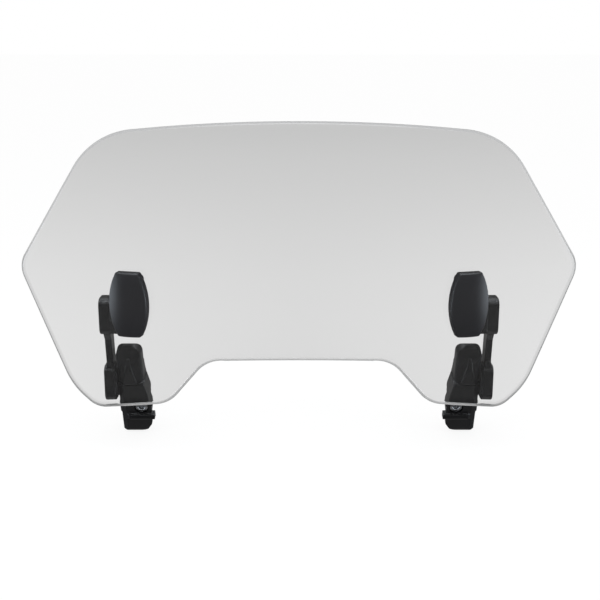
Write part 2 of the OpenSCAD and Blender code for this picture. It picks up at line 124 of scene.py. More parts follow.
# ------------------------------------------------------------------ outlines
def corner(before, tip, after, radius, count):
    """The arc of count + 1 points that rounds the corner at tip."""
    before, tip, after = Vector(before), Vector(tip), Vector(after)
    u, v = (before - tip).normalized(), (after - tip).normalized()
    half = acos(max(-1, min(1, u.dot(v)))) / 2
    reach = radius / (sin(half) / cos(half))
    centre = tip + (u + v).normalized() * (radius / sin(half))
    start, end = tip + u * reach - centre, tip + v * reach - centre
    angle, last = atan2(start.y, start.x), atan2(end.y, end.x)
    sweep = last - angle
    if sweep > pi:
        sweep -= 2 * pi
    elif sweep < -pi:
        sweep += 2 * pi
    return [(centre.x + radius * cos(angle + sweep * i / count),
             centre.y + radius * sin(angle + sweep * i / count)) for i in range(count + 1)]


def rounded(points, count=6):
    """A closed outline from (u, v, corner radius) rows; a radius of 0 keeps the corner."""
    out = []
    for i, point in enumerate(points):
        before, after = points[i - 1], points[(i + 1) % len(points)]
        if point[2] < 0.05:
            out.append((point[0], point[1]))
        else:
            out += corner(before[:2], point[:2], after[:2], point[2], count)
    return out


def inboard(points):
    """Rows whose first column is measured inboard from the left outboard face."""
    return [(-FACE_D + p[0],) + tuple(p[1:]) for p in points]


def winding(poly):
    """1 for an anticlockwise outline, -1 for a clockwise one."""
    area = sum(poly[i - 1].x * poly[i].y - poly[i].x * poly[i - 1].y for i in range(len(poly)))
    return 1 if area > 0 else -1


def inward_normals(poly):
    sign = winding(poly)
    normals = []
    for i, b in enumerate(poly):
        a, c = poly[i - 1], poly[(i + 1) % len(poly)]
        along = ((b - a).normalized() + (c - b).normalized()).normalized()
        normals.append(Vector((-along.y, along.x)) * sign)
    return normals


def inset(poly, depth):
    sign = winding(poly)
    out = []
    for i, b in enumerate(poly):
        a, c = poly[i - 1], poly[(i + 1) % len(poly)]
        along1, along2 = (b - a).normalized(), (c - b).normalized()
        normal1 = Vector((-along1.y, along1.x)) * sign
        normal2 = Vector((-along2.y, along2.x)) * sign
        mitre = normal1 + normal2
        mitre = mitre.normalized() if mitre.length > 1e-6 else normal1
        out.append(b + mitre * depth / max(0.5, mitre.dot(normal1)))
    return out


# ------------------------------------------------------------------ mesh tools
def bridge(first, second):
    """Faces between two closed rings of vertex numbers; repeated numbers give triangles."""
    faces = []
    for i in range(len(first)):
        j = (i + 1) % len(first)
        face = list(dict.fromkeys((first[i], first[j], second[j], second[i])))
        if len(face) > 2:
            faces.append(face)
    return faces


def drop_loose(bm):
    loose = [v for v in bm.verts if not v.link_faces]
    bmesh.ops.delete(bm, geom=loose, context="VERTS")


def link_object(name, mesh):
    ob = bpy.data.objects.new(name, mesh)
    collection.objects.link(ob)
    return ob


def row_object(name, verts, faces, local):
    """A finished mesh, its vertices given in mm in the local frame."""
    mesh = bpy.data.meshes.new(name)
    mesh.from_pydata([to_row(local @ Vector(v)) for v in verts], [], faces)
    mesh.validate()
    mesh.update()
    bm = bmesh.new()
    bm.from_mesh(mesh)
    bmesh.ops.remove_doubles(bm, verts=bm.verts, dist=1e-7)
    bmesh.ops.recalc_face_normals(bm, faces=bm.faces)
    drop_loose(bm)
    bm.to_mesh(mesh)
    bm.free()
    return link_object(name, mesh)


def solid(verts, faces):
    """A working mesh in mm, for booleans and mouldings."""
    mesh = bpy.data.meshes.new("solid")
    mesh.from_pydata([tuple(v) for v in verts], [], faces)
    mesh.update()
    bm = bmesh.new()
    bm.from_mesh(mesh)
    bmesh.ops.remove_doubles(bm, verts=bm.verts, dist=1e-5)
    bmesh.ops.recalc_face_normals(bm, faces=bm.faces)
    bm.to_mesh(mesh)
    bm.free()
    return link_object("solid", mesh)


def smooth(ob, angle):
    """Smooth shading with sharp edges above the angle in degrees."""
    mesh = ob.data
    mesh.polygons.foreach_set("use_smooth", [True] * len(mesh.polygons))
    mesh.set_sharp_from_angle(angle=radians(angle))
    mesh.update()
    return ob


def mirrored(ob, name):
    mesh = ob.data.copy()
    mesh.transform(Matrix.Scale(-1, 4, (1, 0, 0)))
    mesh.flip_normals()
    twin = link_object(name, mesh)
    mesh.name = name
    return twin


def placed(ob, matrix):
    ob.data.transform(matrix)
    return ob


def moved(ob, x=0.0, y=0.0, z=0.0):
    return placed(ob, Matrix.Translation((x, y, z)))


def prism(poly, start, end, axis, radius=0.0, count=3):
    """A closed profile swept along an axis, its two ends rounded with the radius."""
    poly = [Vector((p[0], p[1])) for p in poly]
    place = {"x": lambda u, v, t: (t, u, v),
             "y": lambda u, v, t: (u, t, v),
             "z": lambda u, v, t: (u, v, t)}[axis]
    if radius > 0:
        arc = [(radius * (1 - sin(pi / 2 * k / count)), radius * (1 - cos(pi / 2 * k / count)))
               for k in range(count + 1)]
        rings = [(inset(poly, depth), start + rise) for depth, rise in arc]
        rings += [(inset(poly, depth), end - rise) for depth, rise in reversed(arc)]
    else:
        rings = [(poly, start), (poly, end)]
    n = len(poly)
    verts = [place(p.x, p.y, t) for ring, t in rings for p in ring]
    numbers = [range(k * n, (k + 1) * n) for k in range(len(rings))]
    faces = [tuple(numbers[0]), tuple(numbers[-1])]
    for first, second in zip(numbers, numbers[1:]):
        faces += bridge(first, second)
    return solid(verts, faces)


def block(x0, x1, y0, y1, z0, z1):
    return prism([(x0, y0), (x1, y0), (x1, y1), (x0, y1)], z0, z1, "z")


def spin(rings, n=48, closed=False, axis="x", at=(0, 0, 0)):
    """Rings of (radius, height) round an axis; either may be a function of the angle.
    A radius of 0 closes an end."""
    verts, numbers = [], []
    for radius, height in rings:
        if not callable(radius) and radius == 0:
            numbers.append([len(verts)] * n)
            row = [(0.0, 0.0, height)]
        else:
            numbers.append([len(verts) + i for i in range(n)])
            row = []
            for i in range(n):
                t = 2 * pi * i / n
                r = radius(t) if callable(radius) else radius
                row.append((r * cos(t), r * sin(t), height(t) if callable(height) else height))
        for u, v, w in row:
            x, y, z = {"x": (w, u, v), "y": (u, w, v), "z": (u, v, w)}[axis]
            verts.append((x + at[0], y + at[1], z + at[2]))
    pairs = list(zip(numbers, numbers[1:]))
    if closed:
        pairs.append((numbers[-1], numbers[0]))
    faces = []
    for first, second in pairs:
        faces += bridge(first, second)
    return solid(verts, faces)


def rod(outer_d, inner_d, radius, y=0.0, z=0.0, n=48):
    """A round bar along x, between two distances from the middle plane."""
    rings = [(0, -outer_d), (radius, -outer_d), (radius, -inner_d), (0, -inner_d)]
    return spin(rings, n, axis="x", at=(0, y, z))


def peg(y0, y1, radius, x, z, n=48):
    """A round bar along y."""
    return spin([(0, y0), (radius, y0), (radius, y1), (0, y1)], n, axis="y", at=(x, 0, z))


def hexagon(apothem):
    """The radius of a hexagon as a function of the angle."""
    return lambda t: apothem / cos(((t + 1e-9) % (pi / 3)) - pi / 6)


def hex_bar(low, high, apothem, axis, at):
    flats = hexagon(apothem)
    return spin([(0, low), (flats, low), (flats, high), (0, high)], 48, axis=axis, at=at)


def knurl(radius, depth, count):
    return lambda t: radius - (depth if int(t / (2 * pi) * count + 0.5) % 2 else 0.0)


def thread(radius, depth, pitch, start, end, steps=5):
    """Rings of a screw thread, steps to a turn, fading out over a turn at each end."""
    def ridge(u):
        return 1 - abs(2 * (u % 1.0) - 1)

    rings = []
    count = int(round(abs(end - start) / pitch * steps))
    for i in range(count + 1):
        h = start + (end - start) * i / count
        fade = min(1.0, min(i, count - i) / steps)
        rings.append((lambda t, h=h, fade=fade:
                      radius - depth * (1 - fade * ridge(h / pitch + t / (2 * pi))), h))
    return rings


def fused(obs):
    """Several meshes as one mesh."""
    verts, faces = [], []
    for ob in obs:
        base = len(verts)
        verts += [tuple(v.co) for v in ob.data.vertices]
        faces += [tuple(base + i for i in p.vertices) for p in ob.data.polygons]
        bpy.data.objects.remove(ob)
    mesh = bpy.data.meshes.new("fused")
    mesh.from_pydata(verts, [], faces)
    mesh.update()
    return link_object("fused", mesh)


def applied(ob):
    depsgraph = bpy.context.evaluated_depsgraph_get()
    mesh = bpy.data.meshes.new_from_object(ob.evaluated_get(depsgraph))
    ob.modifiers.clear()
    ob.data = mesh
    return ob


def boolean(ob, others, operation):
    for other in others:
        modifier = ob.modifiers.new("boolean", "BOOLEAN")
        modifier.operation = operation
        modifier.solver = "EXACT"
        modifier.object = other
        applied(ob)
        bpy.data.objects.remove(other)
    return ob


def common(ob, *others):
    return boolean(ob, others, "INTERSECT")


def carve(ob, *cutters):
    return boolean(ob, cutters, "DIFFERENCE")


def moulded(parts, voxel, rounds):
    """Overlapping parts grown into one moulding with softened edges."""
    ob = fused(parts)
    remesh = ob.modifiers.new("remesh", "REMESH")
    remesh.mode = "VOXEL"
    remesh.voxel_size = voxel
    remesh.adaptivity = 0.0
    soften = ob.modifiers.new("soften", "SMOOTH")
    soften.factor = 0.5
    soften.iterations = rounds
    thin = ob.modifiers.new("thin", "DECIMATE")
    thin.ratio = 0.3
    return applied(ob)


def seat(ob, local, name, angle=38):
    """Moves a working mesh from its local frame to the row frame and names it."""
    ob.data.transform(ROW @ local)
    bm = bmesh.new()
    bm.from_mesh(ob.data)
    bmesh.ops.dissolve_degenerate(bm, edges=bm.edges, dist=1e-7)
    drop_loose(bm)
    bm.to_mesh(ob.data)
    bm.free()
    ob.name = name
    ob.data.name = name
    return smooth(ob, angle)


# ------------------------------------------------------------------ the sheet
TOP_Z, TOP_R = 105.8, 880           # shallow arc along the top
BOTTOM_Z, BOTTOM_R = -38.5, 900     # shallow arc along the bottom middle
# left side from the top arc down to the bottom one: x, z, corner radius, segments
SIDE_PATH = [
    (-95.2, 100.64, 0, 0), (-122.9, 98.0, 52, 32), (-177.5, 13.5, 16, 20),
    (-144.8, -62.9, 40, 16), (-128.6, -75.9, 15, 16), (-81.1, -69.1, 21.5, 16),
    (-55.9, -39.1, 20.5, 16), (-45, -39.6, 0, 0),
]
HOLE_R, HOLE_N = 2.6, 24            # cover screw holes
GRID = 5.0                          # spacing of the points inside the sheet


def sheet_half():
    """Left half of the outline in (x, z), from the top middle to the bottom middle."""
    points = []
    for i in range(17):
        x = SIDE_PATH[0][0] * i / 16
        points.append((x, TOP_Z - TOP_R + sqrt(TOP_R ** 2 - x * x)))
    for before, tip, after in zip(SIDE_PATH, SIDE_PATH[1:], SIDE_PATH[2:]):
        points += corner(before[:2], tip[:2], after[:2], tip[2], tip[3])
    for i in range(13):
        x = SIDE_PATH[-1][0] * (1 - i / 12)
        points.append((x, BOTTOM_Z - BOTTOM_R + sqrt(BOTTOM_R ** 2 - x * x)))
    thinned = [points[0]]
    for p in points[1:]:
        if (Vector(p) - Vector(thinned[-1])).length > 0.35:
            thinned.append(p)
    # long straight runs are divided so that the sheet bends smoothly
    fine = [thinned[0]]
    for p in thinned[1:]:
        start = Vector(fine[-1])
        count = max(1, ceil((Vector(p) - start).length / 4.0))
        for j in range(1, count + 1):
            q = start.lerp(Vector(p), j / count)
            fine.append((q.x, q.y))
    return fine


def is_inside(x, z, poly):
    crossed = False
    for i, a in enumerate(poly):
        b = poly[i - 1]
        if (a.y > z) != (b.y > z) and x < (b.x - a.x) * (z - a.y) / (b.y - a.y) + a.x:
            crossed = not crossed
    return crossed


def roll(x, z, depth):
    """A point of the front view, at a depth behind the front face, on the rolled sheet."""
    # the holes run square to the sheet, so their far ends lie a little inboard
    near = min(sqrt((abs(x) - COVER_D) ** 2 + (z - COVER_Z - dz) ** 2) for dz in COVER_SCREWS)
    pull = depth * sin(COVER_A) * max(0.0, min(1.0, (13 - near) / 9.5))
    x -= copysign(pull, x)
    return (x, SHEET_R - sqrt((SHEET_R - depth) ** 2 - x * x), z)


def sheet_grid(inner, centres):
    """Grid points clear of the outline and of the holes."""
    points = []
    columns = int(180 / GRID)
    for i in range(-columns, columns + 1):
        for k in range(-18, 24):
            x, z = i * GRID, k * GRID
            here = Vector((x, z))
            if not is_inside(x, z, inner):
                continue
            if min((here - q).length for q in inner[::2]) < 2.6:
                continue
            if any((here - centre).length < 4.2 for centre in centres):
                continue
            points.append((x, z))
    return points


def store_edge_distance(ob, outline):
    """Distance of each vertex from the outline in front view, in mm, for the material."""
    dense = []
    for i, a in enumerate(outline):
        b = outline[(i + 1) % len(outline)]
        count = max(1, int((b - a).length / 0.5))
        dense += [a.lerp(b, j / count) for j in range(count)]
    tree = KDTree(len(dense))
    for i, p in enumerate(dense):
        tree.insert((p.x, p.y, 0), i)
    tree.balance()
    attribute = ob.data.attributes.new("edge_mm", "FLOAT", "POINT")
    for i, vertex in enumerate(ob.data.vertices):
        q = vertex.co * 1000 - SHIFT
        attribute.data[i].value = min(8.0, tree.find((q.x, q.z, 0))[2])


def build_sheet():
    half = sheet_half()
    other = [(-x, z) for x, z in reversed(half)][1:-1]
    outline = [Vector(p) for p in half + other]
    normals = inward_normals(outline)
    n = len(outline)
    radius = SHEET_T / 2

    # the full-round edge, from the front face to the rear one
    verts, faces, rings = [], [], []
    edge_steps = 12
    for k in range(edge_steps + 1):
        angle = pi * k / edge_steps
        rings.append([len(verts) + i for i in range(n)])
        for point, normal in zip(outline, normals):
            p = point + normal * (radius - radius * sin(angle))
            verts.append(roll(p.x, p.y, radius - radius * cos(angle)))
    for first, second in zip(rings, rings[1:]):
        faces += bridge(first, second)

    # both faces share one triangulation of the front view
    inner = [p + normal * radius for p, normal in zip(outline, normals)]
    points = [(p.x, p.y) for p in inner]
    edges = [(i, (i + 1) % n) for i in range(n)]
    holes = []
    for side in (-1, 1):
        for dz in COVER_SCREWS:
            angles = [2 * pi * j / HOLE_N for j in range(HOLE_N)]
            holes.append([Vector((side * COVER_D + HOLE_R * cos(a),
                                  COVER_Z + dz + HOLE_R * sin(a))) for a in angles])
    for hole in holes:
        base = len(points)
        points += [(p.x, p.y) for p in hole]
        edges += [(base + j, base + (j + 1) % HOLE_N) for j in range(HOLE_N)]
    centres = [sum(hole, Vector((0, 0))) / HOLE_N for hole in holes]
    points += sheet_grid(inner, centres)
    result = delaunay_2d_cdt([Vector(p) for p in points], edges, [], 1, 1e-6)
    flat, triangles = result[0], result[2]
    front = len(verts)
    verts += [roll(p.x, p.y, 0) for p in flat]
    rear = len(verts)
    verts += [roll(p.x, p.y, SHEET_T) for p in flat]
    for face in triangles:
        middle = sum((flat[i] for i in face), Vector((0, 0))) / len(face)
        if any((middle - centre).length < HOLE_R for centre in centres):
            continue
        faces.append([front + i for i in face])
        faces.append([rear + i for i in reversed(face)])

    # hole walls join the two faces
    number_at = {(round(p.x, 3), round(p.y, 3)): i for i, p in enumerate(flat)}
    for hole in holes:
        numbers = [number_at[(round(p.x, 3), round(p.y, 3))] for p in hole]
        faces += bridge([front + i for i in numbers], [rear + i for i in numbers])
    ob = row_object("clear_sheet", verts, faces, FIT)
    store_edge_distance(ob, outline)
    return smooth(ob, 50)


# ------------------------------------------------------------------ the covers
def barrel_half_width(z):
    """Half width of the cover, whose sides bulge from the ends to the middle."""
    bulge = (COVER_W - COVER_END_W) / 2
    radius = (COVER_H ** 2 / 4 + bulge * bulge) / (2 * bulge)
    return COVER_W / 2 - (radius - sqrt(radius * radius - z * z))


def barrel_ring(count):
    """Barrel outline with rounded corners, anticlockwise, in (x, z)."""
    h = COVER_H / 2
    corner_r = 1.6
    heights = [h * (2 * i / count - 1) for i in range(count + 1)]
    right = [(barrel_half_width(z), z) for z in heights]
    right = (corner((0, -h), right[0], right[2], corner_r, 6) + right[2:-2]
             + corner(right[-3], right[-1], (0, h), corner_r, 6))
    top = [(right[-1][0] * (1 - 2 * i / 8), h) for i in range(1, 8)]
    left = [(-x, z) for x, z in reversed(right)]
    bottom = [(-x, -z) for x, z in top]
    return [Vector(p) for p in right + top + left + bottom]


def crown(x, z):
    """How far the domed face stands in front of the cover frame's origin."""
    across_r, upright_r = 24, 78
    return (COVER_T + GASKET_T - (across_r - sqrt(across_r ** 2 - x ** 2))
            - (upright_r - sqrt(upright_r ** 2 - z * z)))


def back_plane(x):
    """Local y of the gasket's front under the cover."""
    radius = SHEET_R + GASKET_T
    return SHEET_R - sqrt(radius * radius - x * x)


def build_cover():
    ring = barrel_ring(20)
    normals = inward_normals(ring)
    n = len(ring)
    edge_r, back_r = 1.0, 0.5
    verts, rings = [], []

    def add_ring(points):
        rings.append([len(verts) + i for i in range(n)])
        verts.extend(points)

    # back edge with a small radius: inset, rise
    for depth, rise in ((back_r, 0), (0.12, 0.12), (0, back_r)):
        pulled = [(p, p + normal * depth) for p, normal in zip(ring, normals)]
        add_ring([(q.x, back_plane(p.x) - rise, q.y) for p, q in pulled])
    # the wall
    for w in (0.35, 0.7):
        add_ring([(p.x, (back_plane(p.x) - back_r) * (1 - w) - w * (crown(p.x, p.y) - edge_r),
                   p.y) for p in ring])
    # the rounded front edge
    for k in range(9):
        angle = pi / 2 * k / 8
        pulled = [p + normal * (edge_r * (1 - cos(angle))) for p, normal in zip(ring, normals)]
        add_ring([(q.x, -(crown(q.x, q.y) - edge_r * (1 - sin(angle))), q.y) for q in pulled])
    # the domed face
    last = [p + normal * edge_r for p, normal in zip(ring, normals)]
    for s in (0.9, 0.78, 0.64, 0.5, 0.36, 0.22, 0.1):
        add_ring([(p.x * s, -crown(p.x * s, p.y * s), p.y * s) for p in last])
    faces = []
    for first, second in zip(rings, rings[1:]):
        faces += bridge(first, second)
    faces += bridge(rings[-1], [len(verts)] * n)
    verts.append((0, -crown(0, 0), 0))
    # the back, bent like the gasket
    rim = verts[:n]
    outer = rings[0]
    for s in (0.8, 0.5, 0.25):
        add_ring([(p[0] * s, back_plane(p[0] * s), p[2] * s) for p in rim])
        faces += bridge(rings[-1], outer)
        outer = rings[-1]
    faces += bridge([len(verts)] * n, outer)
    verts.append((0, back_plane(0), 0))
    return smooth(row_object("left_cover_shell", verts, faces, COVER), 40)


def bend(ob, radius):
    """Bends a flat pad back round an upright cylinder."""
    for v in ob.data.vertices:
        v.co.y += radius - sqrt(radius ** 2 - v.co.x ** 2)


def build_cover_gasket():
    ring = [Vector((p.x * 0.95, p.y * 0.975)) for p in barrel_ring(16)]
    ob = prism(ring, -GASKET_T, 0.0, "y", 0.2, 2)
    bend(ob, SHEET_R)
    holes = fused([peg(-4, 4, 3.2, 0, z) for z in COVER_SCREWS])
    return seat(carve(ob, holes), COVER, "left_cover_gasket_pad")


# ------------------------------------------------------------------ the brackets
def base_outline(width, height, radius):
    u, v = width / 2, height / 2
    box = [(-u, -v, radius), (u, -v, radius), (u, v, radius), (-u, v, radius)]
    return [(x + BASE_SHIFT, z) for x, z in rounded(box, 8)]


def build_back_gasket():
    ob = prism(base_outline(BASE_W + 0.6, BASE_H + 0.6, 3.3), SHEET_T, SHEET_T + GASKET_T,
               "y", 0.2, 2)
    bend(ob, SHEET_BACK_R)
    holes = fused([peg(0, 12, 2.6, 0, z) for z in COVER_SCREWS])
    return seat(carve(ob, holes), COVER, "left_back_gasket_pad")


def behind_gasket():
    """The space behind the rear gasket, inside the curve of the sheet."""
    radius = SHEET_BACK_R - GASKET_T
    return spin([(0, -150), (radius, -150), (radius, 150), (0, 150)], 360, axis="z",
                at=(0, SHEET_R, 0))


def build_bracket():
    lug_in = 105.5
    base = placed(prism(base_outline(BASE_W, BASE_H, 3), 2.0, BASE_BACK_Y, "y"), COVER)
    base = common(fused([base]), behind_gasket())
    # y, z, corner radius
    lug_side = [(12, UPPER_Z - 8, 0), (UPPER_Y - 3, UPPER_Z - 9.54, 0),
                (UPPER_Y + 1, UPPER_Z + 9.95, 0), (24, UPPER_Z + 14.5, 6),
                (12, UPPER_Z + 17, 0)]
    lug = common(prism(rounded(lug_side, 8), -FACE_D, -lug_in, "x"), behind_gasket())
    eye = rod(FACE_D, lug_in, 10, UPPER_Y, UPPER_Z, 64)
    boss = rod(106, 104.3, 7.4, UPPER_Y, UPPER_Z, 64)
    # a gusset between the base and the lug
    gusset = prism([(16, UPPER_Z + 15), (28, UPPER_Z + 6), (28, UPPER_Z - 6),
                    (16, UPPER_Z - 9)], -105.6, -101.8, "x")
    ob = moulded([base, lug, eye, boss, gusset], voxel=0.32, rounds=4)
    carve(ob, rod(FACE_D + 1, 100, BOLT_R + 0.05, UPPER_Y, UPPER_Z),
          hex_bar(-UPPER_NUT_D, -100, NUT_POCKET, "x", (0, UPPER_Y, UPPER_Z)))
    # screw holes and counterbores
    for z in COVER_SCREWS:
        carve(ob, placed(peg(0, 30, 2.2, 0, z), COVER),
              placed(peg(HEAD_Y, HEAD_Y + 20, 4.1, 0, z), COVER))
    return seat(ob, FIT, "left_bracket_moulding")


def pan_screw():
    """M4 pan head screw along y, head underside at 0, shank towards -y."""
    socket = hexagon(1.45)
    rings = [(0, 1.0), (socket, 1.0), (socket, 2.4), (lambda t: socket(t) + 0.15, 2.58),
             (2.5, 2.6), (3.2, 2.42), (3.62, 2.05), (3.8, 1.5), (3.8, 0.15), (3.65, 0.0),
             (1.95, 0.0), (1.95, -0.5)]
    rings += thread(radius=2.0, depth=0.38, pitch=0.7, start=-0.6, end=-14.4)
    rings += [(1.5, -14.9), (0, -15.0)]
    return spin(rings, 36, axis="y")


def insert():
    """Knurled brass insert, 5.2 long."""
    grip = knurl(2.8, 0.14, 48)
    return spin([(2.05, 0.3), (2.3, 0.0), (2.55, 0.0), (grip, 0.25), (grip, 2.1), (2.5, 2.3),
                 (2.5, 2.9), (grip, 3.1), (grip, 4.95), (2.55, 5.2), (2.3, 5.2), (2.05, 4.9)],
                48, closed=True, axis="y")


def build_cover_screws():
    screws = fused([moved(pan_screw(), y=HEAD_Y, z=z) for z in COVER_SCREWS])
    return seat(screws, COVER, "left_cover_screws", 30)


def build_inserts():
    inserts = fused([moved(insert(), y=-6.5, z=z) for z in COVER_SCREWS])
    return seat(inserts, COVER, "left_cover_inserts", 30)


# ------------------------------------------------------------------ arms and pivots
def ring_washer(bore, radius, thickness, axis="x"):
    c = 0.12    # edge chamfer
    return spin([(bore, c), (bore + c, 0), (radius - c, 0), (radius, c),
                 (radius, thickness - c), (radius - c, thickness), (bore + c, thickness),
                 (bore, thickness - c)], 56, closed=True, axis=axis)


def hex_nut(apothem, bore, height, axis="x"):
    flats = hexagon(apothem)

    def cut(t):
        """How far the corners are chamfered."""
        return (flats(t) - apothem) * 0.5

    return spin([(bore, 0.45), (bore + 0.5, 0), (apothem - 0.15, 0), (flats, cut),
                 (flats, lambda t: height - cut(t)), (apothem - 0.15, height),
                 (bore + 0.5, height), (bore, height - 0.45)], 48, closed=True, axis=axis)


def build_arm():
    hub = (corner((0, -HUB_R), (-HUB_FLAT, -HUB_R), (-HUB_FLAT, HUB_R), 5, 8)
           + corner((-HUB_FLAT, -HUB_R), (-HUB_FLAT, HUB_R), (0, HUB_R), 5, 8)
           + [(HUB_R * sin(pi * i / 32), HUB_R * cos(pi * i / 32)) for i in range(33)])
    parts = [prism([(y + u, z + v) for u, v in hub], -HUB_OUT, -HUB_IN, "x", 0.7, 4)
             for y, z in PIVOTS]
    shank_in = HUB_IN + 1.4
    shank_out = shank_in + SHANK_T

    def strip(top_w, bottom_w, top, bottom, out):
        """A tapering bar between two heights of the arm frame, given its half widths."""
        profile = [(-top_w, top), (top_w, top), (bottom_w, bottom), (-bottom_w, bottom)]
        return placed(prism(profile, -out, -shank_in, "x"), ARM)

    half, rib = SHANK_W / 2, 1.3
    parts.append(strip(half, half, -ARM_L, 0, shank_out))
    parts.append(strip(rib, rib, -ARM_L, 0, shank_out + 0.8))
    # flares where the shank meets the hubs
    for hub_end, far_end in ((-HUB_R + 0.5, -HUB_R - 4.5),
                             (-ARM_L + HUB_R - 0.5, -ARM_L + HUB_R + 4.5)):
        parts.append(strip(half + 2.6, half, hub_end, far_end, shank_out))
    ob = moulded(parts, voxel=0.32, rounds=4)
    for y, z in PIVOTS:
        carve(ob, rod(HUB_OUT + 1, SEAT_D, 6.3, y, z, 64),
              rod(HUB_OUT + 1, HUB_IN - 1, BOLT_R + 0.05, y, z))
    return seat(ob, FIT, "left_arm_moulding")


def build_rings():
    rings = [moved(ring_washer(BOLT_R + 0.3, 10.4, RING_T), -HUB_IN, y, z) for y, z in PIVOTS]
    return seat(fused(rings), FIT, "left_friction_ring_pair", 30)


def build_bolt(local, name):
    """M6 button head bolt along x, its head outboard."""
    socket = hexagon(2.0)
    rings = [(0, -1.3), (socket, -1.3), (socket, -3.1), (lambda t: socket(t) + 0.2, -3.3)]
    rings += [(5.25 * cos(a) ** 0.75, -3.3 * sin(a)) for a in (0.95, 0.75, 0.55, 0.36, 0.2, 0.08)]
    rings += [(5.25, -0.12), (5.1, 0.0), (2.95, 0.0), (2.95, 0.8)]
    rings += thread(radius=BOLT_R, depth=0.5, pitch=1.0, start=0.9, end=BOLT_L - 0.7)
    rings += [(2.3, BOLT_L - 0.1), (0, BOLT_L)]
    return seat(moved(spin(rings), -WASHER_OUT), local, name, 30)


def build_washer(local, name):
    washer = ring_washer(BOLT_R + 0.1, 5.7, WASHER_T)
    return seat(moved(washer, -WASHER_OUT), local, name, 30)


def build_nut(local, name, outer_d):
    return seat(moved(hex_nut(5.0, BOLT_R, 5.0), -outer_d), local, name, 25)


# ------------------------------------------------------------------ the clamp
# Side profiles have rows of y, z, corner radius; front ones inboard, z, corner radius;
# plans inboard, y.
def build_clamp():
    side = rounded([
        (-2.5, 28.4, 4), (-9, 15, 14), (-9, -26.5, 0.3), (-PLATE_Y - 3.6, -27, 0.4),
        (-PLATE_Y - 3.6, TIP_Z, 2.4), (-PLATE_Y, TIP_Z, 0.4), (-PLATE_Y, -24.2, 0),
        (0, -22.2, 0.8), (0, -10.8, 1), (6.4, -8.2, 3), (6.4, 9, 0.5), (4, 11, 1),
        (4, 28.4, 4)], 8)
    front = inboard(rounded([
        (0, 28.2, 7.5), (HEAD_W, 28.2, 6.5), (HEAD_W, 5, 14), (JAW_W + 1, -15.6, 1),
        (JAW_W, -17.4, 0.8), (JAW_W - 0.4, TIP_Z + 6.5, 3), (JAW_W - 3.4, TIP_Z + 2, 2),
        (JAW_W - 9, TIP_Z, 2.5), (-1.2, TIP_Z, 1.4), (-1.4, -16.4, 0.4), (0, -15, 0.4)], 8))
    plan = inboard([(-3, 15), (-3, -3), (3.4, -9), (6, -11.6), (JAW_W + 3, -11.6),
                    (JAW_W + 3, 15)])
    head_plan = inboard(rounded([(0.03, 16, 0), (0.03, -7.4, 5.5), (HEAD_W - 0.03, -7.4, 5.5),
                                 (HEAD_W - 0.03, 16, 0)], 10))
    # the body below and the head above
    parts = [common(prism(side, -FACE_D - 3, -FACE_D + JAW_W + 4, "x"),
                    prism(front, -13, 17, "y"), slab)
             for slab in (prism(plan, TIP_Z - 1, 1.5, "z"), prism(head_plan, 0.5, 31, "z"))]
    # the two ears that hold the pin
    for w0, w1 in ((0, EAR_T), (EAR_W - EAR_T, EAR_W)):
        parts.append(rod(FACE_D - w0, FACE_D - w1, 4.3, PIN_Y, PIN_Z))
        parts.append(prism([(0, PIN_Z - 4.2), (PIN_Y, PIN_Z - 4.3), (PIN_Y, PIN_Z + 4.3),
                            (0, PIN_Z + 8)], -FACE_D + w0, -FACE_D + w1, "x"))
    # a lip across the front, above the plate
    lip = prism(rounded([(-6, -22.2, 0), (-10.8, -22.5, 0.5), (-11.2, -26.2, 0.6),
                         (-6, -26.8, 0)], 4), -FACE_D + 0.05, -FACE_D + JAW_W + 2.1, "x")
    parts.append(common(lip, prism(plan, TIP_Z - 1, 0, "z")))
    # a raised wedge on the front of the head, narrowing upwards
    middle = HEAD_W / 2
    wedge = prism(inboard([(middle - 4.4, 3), (middle + 4.4, 3), (middle + 0.7, 21.5),
                           (middle - 0.7, 21.5)]), -9.7, -4, "y")
    wedge_side = rounded([(-9.6, 1, 0), (-9.6, 14.6, 11), (-3.4, 27.8, 0), (-1, 27.8, 0),
                          (-1, 1, 0)], 8)
    parts.append(common(wedge, prism(wedge_side, -FACE_D - 2, -FACE_D + HEAD_W + 2, "x")))
    ob = moulded(parts, voxel=0.28, rounds=3)
    # pivot bore, and the nut pocket open to the rear
    slot0, slot1 = -LOWER_NUT_D - 0.05, -LOWER_NUT_D + 5.15
    carve(ob, rod(FACE_D + 1, LOWER_NUT_D - 6.6, BOLT_R + 0.05),
          placed(hex_bar(slot0, slot1, NUT_POCKET, "x", (0, 0, 0)), NUT_TURN),
          block(slot0, slot1, 0.0, 12, -NUT_POCKET, NUT_POCKET))
    # clamp screw counterbore and hole, pin hole, and the gap between the ears
    carve(ob, peg(-14, -2.5, 4.65, SCREW_X, SCREW_Z, 56), peg(-3, 2, 2.75, SCREW_X, SCREW_Z),
          rod(FACE_D + 1, 90, PIN_R, PIN_Y, PIN_Z),
          block(-FACE_D + EAR_T, -FACE_D + EAR_W - EAR_T, 4.2, 18, PIN_Z - 9, PIN_Z + 9))
    return seat(ob, CLAMP, "left_clamp_moulding")


